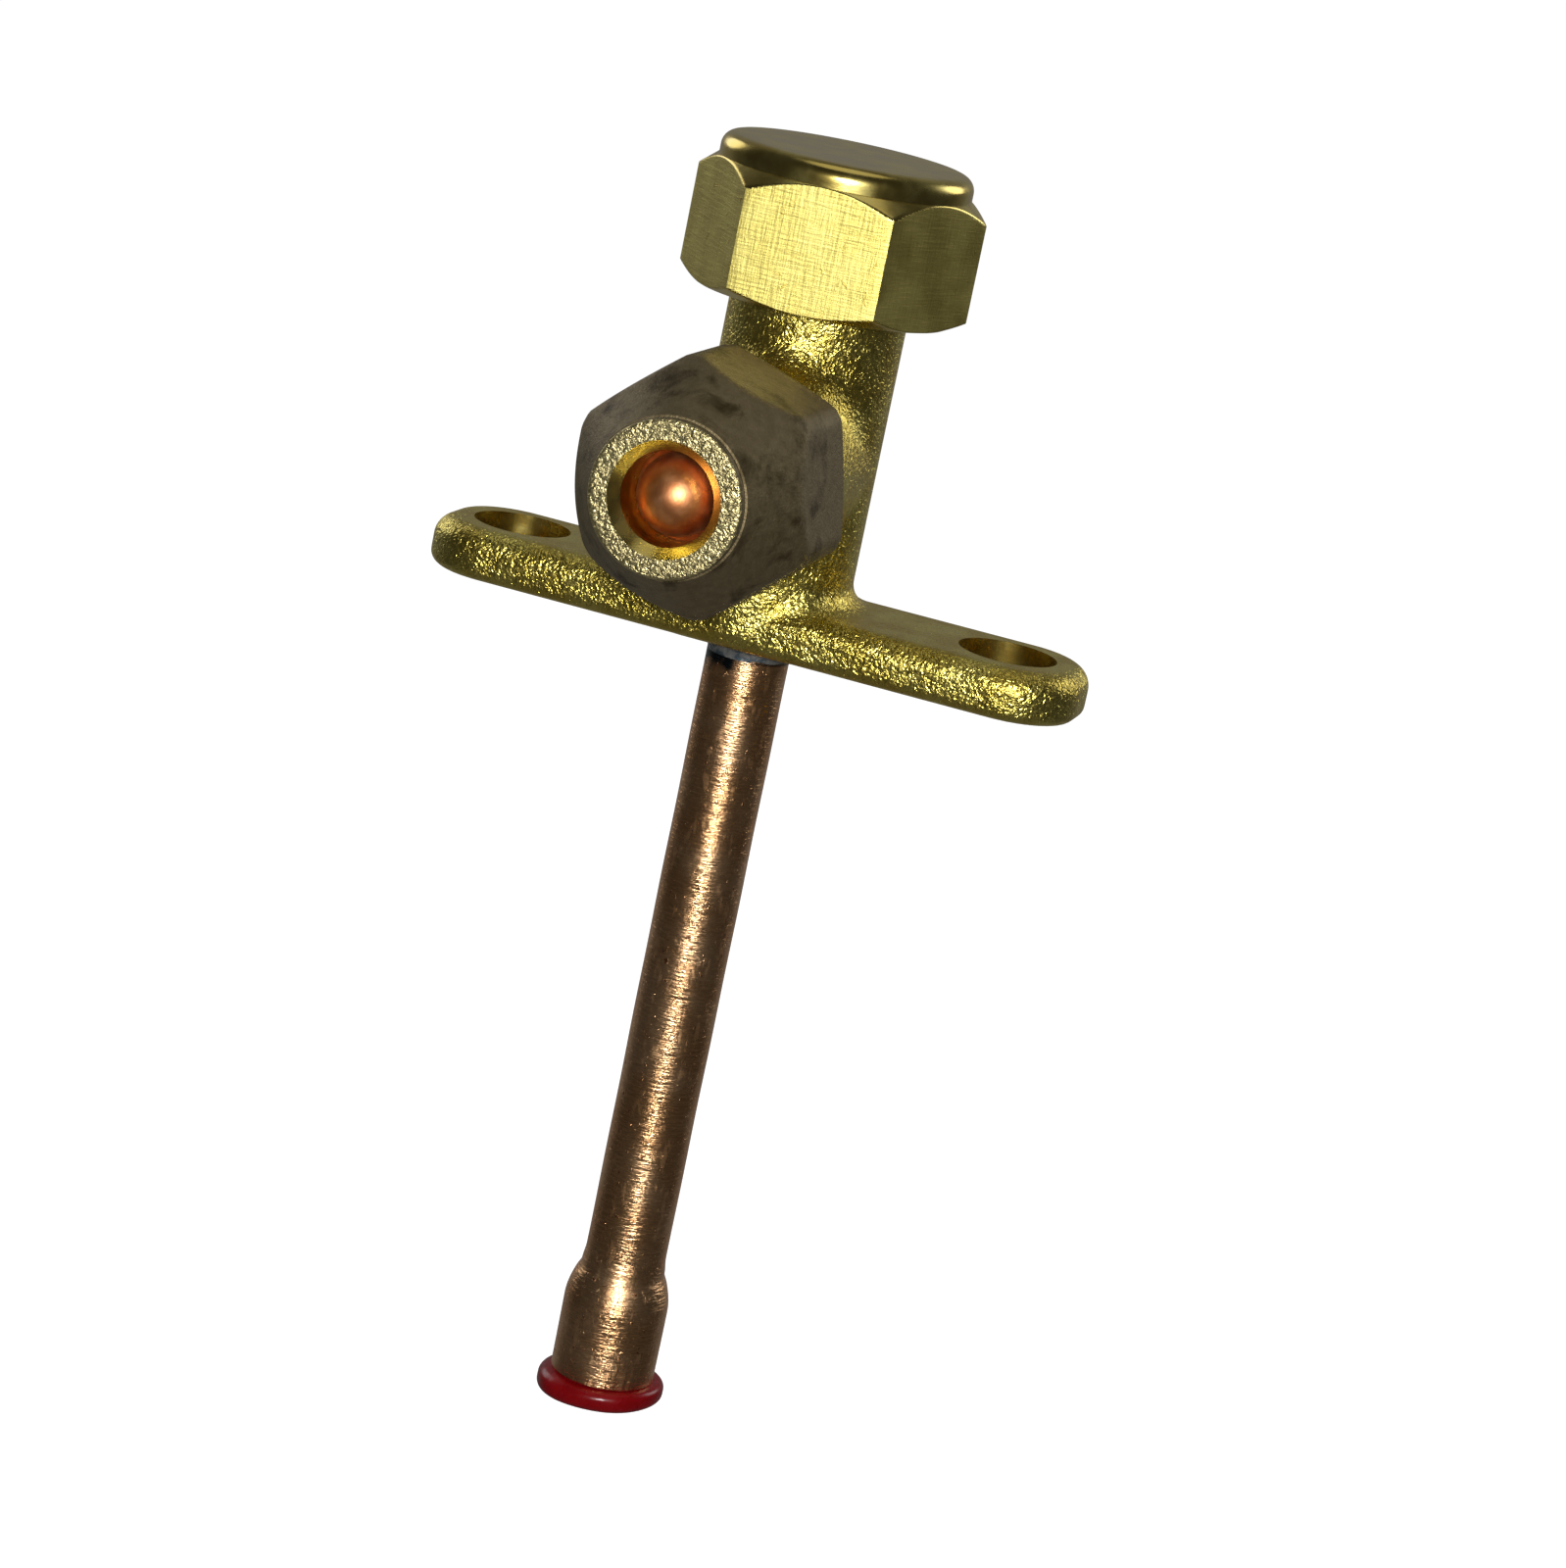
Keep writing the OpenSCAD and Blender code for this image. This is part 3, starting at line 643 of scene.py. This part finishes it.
def make_body(skin, cut):
    points, faces = blended_surface(body_distance, (-27, -14.2, -1), (27, 8, 28), SKIN_CELL)
    body = mesh_piece("forged_body", points, faces, "body", "valve_body")
    give(body, skin, cut)
    root = NECK_R - NECK_RELIEF
    neck = [(0, SHOULDER_Z - 1), (root, SHOULDER_Z - 1), (root, SHOULDER_Z + 0.7),
            (NECK_R, SHOULDER_Z + 0.7 + NECK_RELIEF), (NECK_R, NECK_Z - 0.5), (NECK_R - 0.5, NECK_Z),
            (0, NECK_Z)]
    flare_root = FLARE_R - FLARE_RELIEF
    cone = FLARE_REACH + FLARE_TIP_R - flare_root
    flare = [(0, BOSS_REACH - 1), (flare_root, BOSS_REACH - 1), (flare_root, BOSS_REACH + 1),
             (FLARE_R, BOSS_REACH + 1 + FLARE_RELIEF), (FLARE_R, cone - FLARE_RELIEF),
             (flare_root, cone), (FLARE_TIP_R, FLARE_REACH), (0, FLARE_REACH)]
    socket_mouth = SOCKET_R + BRAZE_W
    groove_top = ring_high[2] + 0.05
    groove_low = ring_low[2] - 0.05
    groove_r = HEAD_BORE_R + GROOVE_DEPTH
    bore = [(0, -1), (socket_mouth + 1, -1), (SOCKET_R, BRAZE_W), (SOCKET_R, SOCKET_DEPTH),
            (ORIFICE_R, SOCKET_DEPTH), (ORIFICE_R, SEAT_Z), (CHAMBER_R, SEAT_Z + CHAMBER_R - ORIFICE_R),
            (CHAMBER_R, STEM_BORE_Z - CHAMFER), (STEM_BORE_R, STEM_BORE_Z), (STEM_BORE_R, HEAD_BORE_Z),
            (HEAD_BORE_R, HEAD_BORE_Z), (HEAD_BORE_R, groove_low), (groove_r, groove_low),
            (groove_r, groove_top), (HEAD_BORE_R, groove_top), (HEAD_BORE_R, NECK_Z - CHAMFER),
            (HEAD_BORE_R + CHAMFER + 1, NECK_Z + 1), (0, NECK_Z + 1)]
    steps = (
        (neck, "z", neck_shape, "UNION", 0.1, 144),
        (flare, "port", flare_shape, "UNION", 0.1, 144),
        (bore, "z", None, "DIFFERENCE", 3, 96),
        ([(0, 0), (PORT_BORE_R, 0), (PORT_BORE_R, FLARE_REACH + 1), (0, FLARE_REACH + 1)],
         "port", None, "DIFFERENCE", 5, 64),
    )
    for profile, axis, shape, operation, step, count in steps:
        tool = turned_piece("tool", fine(profile, step), even_angles(count), None, None, shape, axis)
        give(tool, skin, cut)
        tool.data.polygons.foreach_set("material_index", [1] * len(tool.data.polygons))
        combine(body, tool, operation)
    for side in (-1, 1):
        drill = [(0, -1), (HOLE_R, -1), (HOLE_R, FLANGE_T + 1), (0, FLANGE_T + 1)]
        points, faces = turned_mesh(drill, even_angles(96))
        points = points + np.array([side * HOLE_PITCH / 2, 0, 0])
        tool = mesh_piece("tool", points, faces, None)
        give(tool, skin, cut)
        tool.data.polygons.foreach_set("material_index", [1] * len(tool.data.polygons))
        combine(body, tool, "DIFFERENCE")
    body.data.shade_smooth()
    body.data.set_sharp_from_angle(angle=math.radians(32))
    return body


def hexagon_angles(turn, count, corner_share=0.16):
    """Angles round a hexagon, closer together near its corners."""
    t = np.linspace(-1, 1, count, endpoint=False)
    bent = t - corner_share * np.sin(math.pi * t) * 1.2
    sector = math.pi / 3
    return np.concatenate([turn + sector / 2 + i * sector + bent * sector / 2 for i in range(6)])


def make_cap(flats, lathe):
    cap_z = cap_low[2]
    top_z = cap_high[2]
    hex_top = cap_z + CAP_HEX_H
    flat = CAP_AF / 2
    corner = CAP_AF / math.sqrt(3)
    out = corner + 0.5
    rise = CAP_BOTTOM_CHAMFER * (out - flat) / (corner - flat)
    drop = CAP_TOP_CHAMFER * (out - flat) / (corner - flat)
    major = NECK_R + 0.05
    profile = (fine([(0, CAP_ROOF_Z), (major, CAP_ROOF_Z)], 1.5)
               + fine([(major, CAP_ROOF_Z), (major, CAP_THREAD_Z)], 0.13)[1:]
               + fine([(major, CAP_THREAD_Z), (CAP_MOUTH_R, CAP_THREAD_Z), (CAP_MOUTH_R, cap_z + CHAMFER),
                       (CAP_MOUTH_R + CHAMFER, cap_z), (flat, cap_z)], 0.6)[1:]
               + fine([(flat, cap_z), (out, cap_z + rise)], 0.07)[1:]
               + fine([(out, cap_z + rise), (out, hex_top - drop)], 1.0)[1:]
               + fine([(out, hex_top - drop), (flat, hex_top)], 0.07)[1:]
               + fine([(flat, hex_top), (CROWN_R, hex_top + 0.03), (CROWN_R, top_z - CROWN_EDGE_R)], 0.3)[1:]
               + arc((CROWN_R - CROWN_EDGE_R, top_z - CROWN_EDGE_R), CROWN_EDGE_R, 0, 90, 8)[1:]
               + fine([(CROWN_R - CROWN_EDGE_R, top_z), (0, top_z)], 1.6)[1:])

    def shape(radius, height, turn):
        flats = hexagon_radius(turn, CAP_AF, CAP_ANGLE, 0.12)
        outside = (height < hex_top + 0.01) & (radius > flat - 0.3)
        cut = np.where(outside, soft_min(radius, flats, 0.1), radius)
        groove = thread_radius(turn, height, NECK_R, NECK_THREAD_DEPTH, NECK_PITCH) + THREAD_GAP
        inside = (np.abs(radius - major) < 0.01) & (height < CAP_ROOF_Z - 1.4)
        minor = NECK_R - NECK_THREAD_DEPTH + THREAD_GAP + 0.1
        return np.where(inside, np.clip(groove, minor, major), cut), height

    cap = turned_piece("hex_cap", profile, hexagon_angles(CAP_ANGLE, 50), "cap",
                       "stem_cap", shape)
    unroll(cap, CAP_ANGLE, CAP_AF)
    give(cap, flats, lathe)
    for polygon in cap.data.polygons:
        x, y, z = polygon.center / MM
        on_flat = math.hypot(x, y) > flat - 0.05 and z < hex_top and abs(polygon.normal.z) < 0.2
        polygon.material_index = 0 if on_flat else 1
    return cap


def make_nut(skin, nose, lathe):
    flat = NUT_AF / 2
    out = NUT_CORNER_R + 0.35
    cone = NUT_FRONT - NUT_CONE_BACK
    cone_out = cone - (out - flat) / NUT_CONE_SLOPE
    cone_in = cone + (flat - NUT_NOSE_R - 0.15) / NUT_CONE_SLOPE
    major = FLARE_R + 0.05
    nose_back = NUT_FRONT - NUT_NOSE_STEP
    seat = NUT_SEAT
    edge = 0.35
    profile = (fine([(NUT_BORE_R, NUT_FRONT - NUT_MOUTH), (NUT_BORE_R, seat - NUT_BORE_R),
                     (major, seat - major)], 0.8)
               + fine([(major, seat - major), (major, NUT_BACK + CHAMFER)], 0.13)[1:]
               + fine([(major, NUT_BACK + CHAMFER), (major + CHAMFER, NUT_BACK), (flat - 0.2, NUT_BACK)], 0.5)[1:]
               + fine([(flat - 0.2, NUT_BACK), (out, NUT_BACK + 0.75)], 0.12)[1:]
               + fine([(out, NUT_BACK + 0.75), (out, cone_out)], 0.5)[1:]
               + fine([(out, cone_out), (NUT_NOSE_R + 0.15, cone_in), (NUT_NOSE_R, nose_back)], 0.14)[1:]
               + arc((NUT_NOSE_R - edge, NUT_FRONT - edge), edge, 0, 90, 6)
               + fine([(NUT_NOSE_R - edge, NUT_FRONT), (NUT_BORE_R + NUT_MOUTH, NUT_FRONT),
                       (NUT_BORE_R, NUT_FRONT - NUT_MOUTH)], 0.3)[1:])

    def shape(radius, height, turn):
        flats = np.minimum(hexagon_radius(turn, NUT_AF, NUT_ANGLE, 0.9), NUT_CORNER_R)
        outside = radius > flat - 0.4
        cut = np.where(outside, soft_min(radius, flats, 0.35), radius)
        groove = thread_radius(turn, height, FLARE_R, FLARE_THREAD_DEPTH, FLARE_PITCH) + THREAD_GAP
        inside = (np.abs(radius - major) < 0.01) & (height < 22.2)
        minor = FLARE_R - FLARE_THREAD_DEPTH + THREAD_GAP + 0.1
        return np.where(inside, np.clip(groove, minor, major), cut), height

    nut = turned_piece("forged_nut", profile, hexagon_angles(NUT_ANGLE, 40, 0.1), "nut",
                       "flare_nut", shape, "port")
    give(nut, skin, nose, lathe)
    for polygon in nut.data.polygons:
        height = -polygon.center[1] / MM
        radius = math.hypot(polygon.center[0] / MM, polygon.center[2] / MM - PORT_Z)
        on_nose = height > NUT_FRONT - 0.2 and radius > NUT_BORE_R + NUT_MOUTH - 0.05
        inner = radius < NUT_BORE_R + NUT_MOUTH - 0.05 or (radius < FLARE_R + 0.3 and height < cone)
        polygon.material_index = 1 if on_nose else 2 if inner else 0
    return nut


def make_tube(material):
    def wall(radius, bell):
        steps = np.linspace(0, 1, 25)
        taper_top = TUBE_END_Z + BELL_L + BELL_TAPER_L
        taper = [(radius + (bell - radius) * (1 - math.cos(math.pi * t)) / 2, taper_top - BELL_TAPER_L * t)
                 for t in steps]
        return (fine([(radius, tube_high[2]), taper[0]], 1.0) + taper[1:]
                + fine([taper[-1], (bell, TUBE_END_Z)], 1.0)[1:])

    outer = wall(TUBE_R, BELL_R)
    inner = wall(TUBE_R - TUBE_WALL, BELL_R - TUBE_WALL)
    profile = outer + inner[::-1] + [outer[0]]

    def shape(radius, height, turn):
        wave = 0.012 * np.sin(height * 0.55 + 1.3 * np.sin(turn)) + 0.008 * np.sin(2 * turn + height * 0.21)
        groove = TUBE_GROOVE_DEPTH * np.exp(-((height - TUBE_GROOVE_Z) / TUBE_GROOVE_W) ** 2)
        return np.where(radius > 3, radius + wave - groove, radius), height

    tube = turned_piece("tube_stub", profile, even_angles(120), "body", "copper_tube", shape)
    give(tube, material)
    return tube


def make_bonnet(material):
    bonnet_out = NUT_SEAT - 0.05 * math.sqrt(2)
    bonnet_in = bonnet_out - BONNET_WALL * math.sqrt(2)
    dome = NUT_FRONT - DOME_BACK
    inner_r = DOME_R - BONNET_WALL
    rim = FLARE_R - FLARE_RELIEF
    lip = BONNET_WALL / math.sqrt(2)
    profile = (arc((0, dome), DOME_R, 90, 0, 24)
               + fine([(DOME_R, dome), (DOME_R, bonnet_out - DOME_R), (rim, bonnet_out - rim),
                       (rim - lip, bonnet_in - rim + lip), (inner_r, bonnet_in - inner_r), (inner_r, dome)], 0.5)[1:]
               + arc((0, dome), inner_r, 0, 90, 16)[1:])
    bonnet = turned_piece("bonnet_cup", profile, even_angles(96), "bonnet", "copper_bonnet",
                          None, "port")
    give(bonnet, material)
    return bonnet


def make_braze(material):
    inner = TUBE_R + 0.01
    mouth = SOCKET_R + BRAZE_W - 0.05
    width = mouth - inner
    drop = -braze_low[2]
    curve = [(mouth - width * math.sin(t), -drop * (1 - math.cos(t))) for t in np.linspace(0, math.pi / 2, 13)]
    profile = [(inner, braze_high[2])] + curve + [(inner, braze_high[2])]

    def shape(radius, height, turn):
        uneven = 1 + 0.12 * np.sin(3 * turn + 0.6) + 0.07 * np.sin(7 * turn)
        return radius, np.where(height < 0, height * np.clip(uneven, 0.75, 1.0), height)

    ring = turned_piece("solder_fillet", fine(profile, 0.3), even_angles(96), "body", "braze_ring",
                        shape)
    give(ring, material)
    return ring


def make_plug(material):
    rim_top = TUBE_END_Z - 0.05
    base = rim_top - PLUG_RIM_T
    shank = BELL_R - TUBE_WALL - 0.05
    top = plug_high[2]
    edge = PLUG_RIM_T / 2.6
    profile = (fine([(shank - PLUG_WALL, base)], 1) + arc((PLUG_RIM_R - edge, base + edge), edge, -90, 0, 8)
               + arc((PLUG_RIM_R - edge, rim_top - edge), edge, 0, 90, 8)
               + fine([(shank, rim_top), (shank, top - 0.6), (shank - 0.6, top), (0, top)], 0.5)
               + [(0, top - PLUG_WALL)] + fine([(shank - PLUG_WALL, top - PLUG_WALL)], 1))
    profile = fine(profile + [profile[0]], 0.5)

    def shape(radius, height, turn):
        outer = fade(radius, shank - 0.1, PLUG_RIM_R) * (height < rim_top + 0.01)
        wobble = 0.06 * np.sin(2 * turn + 0.9) + 0.04 * np.sin(5 * turn)
        tilt = PLUG_TILT * (PLUG_RIM_R - radius * np.cos(turn))
        return radius + outer * (wobble - PLUG_RIM_SHRINK), height - outer * tilt

    plug = turned_piece("end_plug", profile, even_angles(96), "plug", "dust_plug", shape)
    give(plug, material)
    return plug


forged = forged_brass()
turned = turned_brass()
make_body(forged, turned)
make_cap(milled_brass(), turned)
make_nut(dull_brass(), nose_brass(), turned)
make_tube(drawn_copper())
make_bonnet(soft_copper())
make_braze(braze_metal())
make_plug(red_plastic())
give(frame["nodes"]["stem"], turned_brass("stem_brass"))
give(frame["nodes"]["stem_o_ring"],
     plain_finish("o_ring_rubber", (0.02, 0.02, 0.02), (0.04, 0.04, 0.04), 0.5, 0.0))
give(frame["nodes"]["cap_gasket"],
     plain_finish("gasket_white", (0.78, 0.77, 0.72), (0.88, 0.87, 0.83), 0.55, 0.0))
give(frame["nodes"]["retaining_ring"],
     plain_finish("spring_steel", (0.3, 0.3, 0.31), (0.46, 0.46, 0.47), 0.35, 1.0))


# Camera, found from the photograph's perspective
LENS_MM = 102.2
SENSOR_MM = 36
CAMERA_PLACE = (87.80, -317.02, 72.67)
CAMERA_TURN = (75.479, -11.372, 17.606)
camera_data = bpy.data.cameras.new("camera")
camera_data.lens = LENS_MM
camera_data.sensor_width = SENSOR_MM
camera_data.clip_start = 0.01
camera = bpy.data.objects.new("camera", camera_data)
camera.location = Vector(CAMERA_PLACE) * MM
camera.rotation_euler = Euler([math.radians(turn) for turn in CAMERA_TURN])
scene.collection.objects.link(camera)
scene.camera = camera


MIDDLE = Vector((0.0, 0.0, -0.01))
FLOOR_Z = -0.1
FLASH_LEVEL = 0.85
OVERHEAD_LEVEL = 0.07
FLOOR_HALF = 80.0
FLOOR_LIFT = 0.93


def soft_light(name, place, size, level, colour=(1, 1, 1)):
    """A round soft light aimed at the object; level 1 shows a white surface facing it as white."""
    away = (Vector(place) - MIDDLE).length
    data = bpy.data.lights.new(name, "AREA")
    data.shape = "DISK"
    data.size = size
    data.energy = level * (math.pi * away) ** 2
    data.color = colour
    light = bpy.data.objects.new(name, data)
    light.location = place
    light.rotation_euler = (MIDDLE - Vector(place)).to_track_quat("-Z", "Y").to_euler()
    scene.collection.objects.link(light)


def make_lights():
    soft_light("flash", (0.092, -0.316, 0.078), 0.03, FLASH_LEVEL)
    soft_light("left_softbox", (-0.45, 0.26, 0.18), 0.3, 0.12)
    soft_light("right_softbox", (0.36, 0.42, 0.25), 0.3, 0.15)
    data = bpy.data.lights.new("overhead", "SUN")
    data.energy = OVERHEAD_LEVEL * math.pi
    data.angle = math.radians(40)
    scene.collection.objects.link(bpy.data.objects.new("overhead", data))


def make_world():
    """White where the camera looks past the object, and in reflections a dim room with a pale wall."""
    world = bpy.data.worlds.new("studio")
    scene.world = world
    world.use_nodes = True
    tree = world.node_tree
    nodes = tree.nodes
    nodes.clear()
    out = nodes.new("ShaderNodeOutputWorld")
    background = nodes.new("ShaderNodeBackground")
    tree.links.new(background.outputs["Background"], out.inputs["Surface"])
    where = nodes.new("ShaderNodeTexCoord")
    wall = nodes.new("ShaderNodeVectorMath")
    wall.operation = "DOT_PRODUCT"
    wall.inputs[1].default_value = Vector((-0.28, 0.95, 0.1)).normalized()
    tree.links.new(where.outputs["Generated"], wall.inputs[0])
    level = nodes.new("ShaderNodeMapRange")
    level.interpolation_type = "SMOOTHSTEP"
    tree.links.new(wall.outputs["Value"], level.inputs["Value"])
    for socket, number in (("From Min", 0.2), ("From Max", 1.0), ("To Min", 0.035), ("To Max", 0.24)):
        level.inputs[socket].default_value = number
    parts = nodes.new("ShaderNodeSeparateXYZ")
    tree.links.new(where.outputs["Generated"], parts.inputs["Vector"])
    below = nodes.new("ShaderNodeMapRange")
    below.interpolation_type = "SMOOTHSTEP"
    tree.links.new(parts.outputs["Z"], below.inputs["Value"])
    for socket, number in (("From Min", -0.9), ("From Max", -0.3), ("To Min", 0.09), ("To Max", 0.0)):
        below.inputs[socket].default_value = number
    total = nodes.new("ShaderNodeMath")
    total.operation = "ADD"
    tree.links.new(level.outputs["Result"], total.inputs[0])
    tree.links.new(below.outputs["Result"], total.inputs[1])
    path = nodes.new("ShaderNodeLightPath")
    strength = nodes.new("ShaderNodeMix")
    tree.links.new(path.outputs["Is Camera Ray"], strength.inputs["Factor"])
    tree.links.new(total.outputs["Value"], strength.inputs["A"])
    strength.inputs["B"].default_value = 1.0
    tree.links.new(strength.outputs["Result"], background.inputs["Strength"])


def make_floor():
    """Pale floor: white to the camera except where the object's shadow falls."""
    mesh = bpy.data.meshes.new("floor")
    half = FLOOR_HALF
    mesh.from_pydata([(-half, -half, FLOOR_Z), (half, -half, FLOOR_Z), (half, half, FLOOR_Z),
                      (-half, half, FLOOR_Z)], [], [(0, 1, 2, 3)])
    floor = bpy.data.objects.new("floor", mesh)
    scene.collection.objects.link(floor)
    material = bpy.data.materials.new("floor")
    material.use_nodes = True
    tree = material.node_tree
    shader = tree.nodes["Principled BSDF"]
    shader.inputs["Base Color"].default_value = (0.7, 0.7, 0.7, 1)
    shader.inputs["Roughness"].default_value = 1.0
    shader.inputs["Specular IOR Level"].default_value = 0.0
    path = tree.nodes.new("ShaderNodeLightPath")
    shader.inputs["Emission Color"].default_value = (1, 1, 1, 1)
    lift = tree.nodes.new("ShaderNodeMath")
    lift.operation = "MULTIPLY"
    tree.links.new(path.outputs["Is Camera Ray"], lift.inputs[0])
    lift.inputs[1].default_value = FLOOR_LIFT
    tree.links.new(lift.outputs["Value"], shader.inputs["Emission Strength"])
    mesh.materials.append(material)
    floor.visible_glossy = False
    floor.visible_diffuse = False


make_lights()
make_world()
make_floor()
scene.view_settings.view_transform = "Standard"
